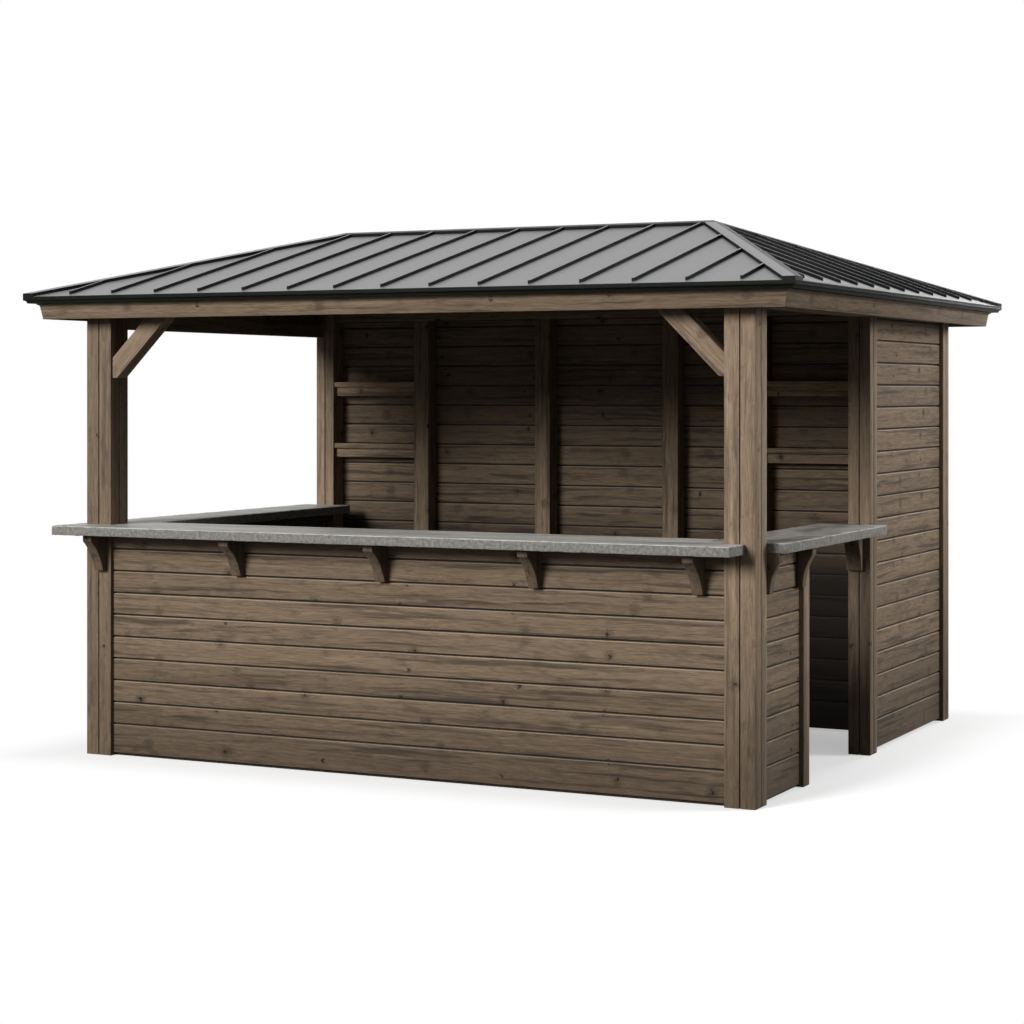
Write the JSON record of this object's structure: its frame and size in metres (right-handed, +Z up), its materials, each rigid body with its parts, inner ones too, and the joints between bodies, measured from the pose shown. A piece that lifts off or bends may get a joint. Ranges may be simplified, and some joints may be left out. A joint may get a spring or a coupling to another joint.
{
  "type": "garden bar gazebo",
  "caption": "Rectangular timber garden bar with a low hip roof of standing-seam metal, bar counters on brackets at the front and both sides, back-bar shelves and an enclosed store behind.",
  "frame": {"origin": "centre of the roof's plan, on the ground", "axes": "+X to the right along the front, +Y from the front to the back, +Z up"},
  "size_m": [3.9, 3.37, 2.576],
  "materials": {
    "post_timber": "brown-stained rough-sawn timber",
    "cladding_timber": "brown-stained shiplap boards",
    "back_bar_timber": "brown-stained boards",
    "eave_timber": "brown-stained planed timber",
    "frame_timber": "sawn framing timber",
    "counter_slab": "grey cast slab with a rough edge",
    "roof_sheet": "satin grey coated sheet",
    "eave_trim": "dark grey-green coated sheet"
  },
  "bodies": {
    "root": {"front_left_post": "post_timber", "front_right_post": "post_timber", "left_rear_post": "post_timber", "door_post": "post_timber", "back_posts": "post_timber", "right_end_post": "post_timber", "knee_braces": "post_timber", "front_brackets": "post_timber", "left_brackets": "post_timber", "right_brackets": "post_timber", "front_bar_cladding": "cladding_timber", "left_bar_cladding": "cladding_timber", "right_bar_cladding": "cladding_timber", "left_wall": "cladding_timber", "right_wall": "cladding_timber", "back_wall": "cladding_timber", "partition_wall": "cladding_timber", "partition_uprights": "back_bar_timber", "shelves": "back_bar_timber", "front_header": "eave_timber", "left_header": "eave_timber", "right_header": "eave_timber", "front_fascia": "eave_timber", "back_fascia": "eave_timber", "left_fascia": "eave_timber", "right_fascia": "eave_timber", "bar_bottom_rails": "frame_timber", "bar_top_rails": "frame_timber", "bar_studs": "frame_timber", "ridge_beam": "frame_timber", "hip_rafters": "frame_timber", "rafters": "frame_timber", "front_counter": "counter_slab", "left_counter": "counter_slab", "right_counter": "counter_slab", "front_roof": "roof_sheet", "back_roof": "roof_sheet", "left_roof": "roof_sheet", "right_roof": "roof_sheet", "ridge_cap": "roof_sheet", "hip_caps": "roof_sheet", "front_eave_trim": "eave_trim", "back_eave_trim": "eave_trim", "left_eave_trim": "eave_trim", "right_eave_trim": "eave_trim"}
  },
  "joints": []
}
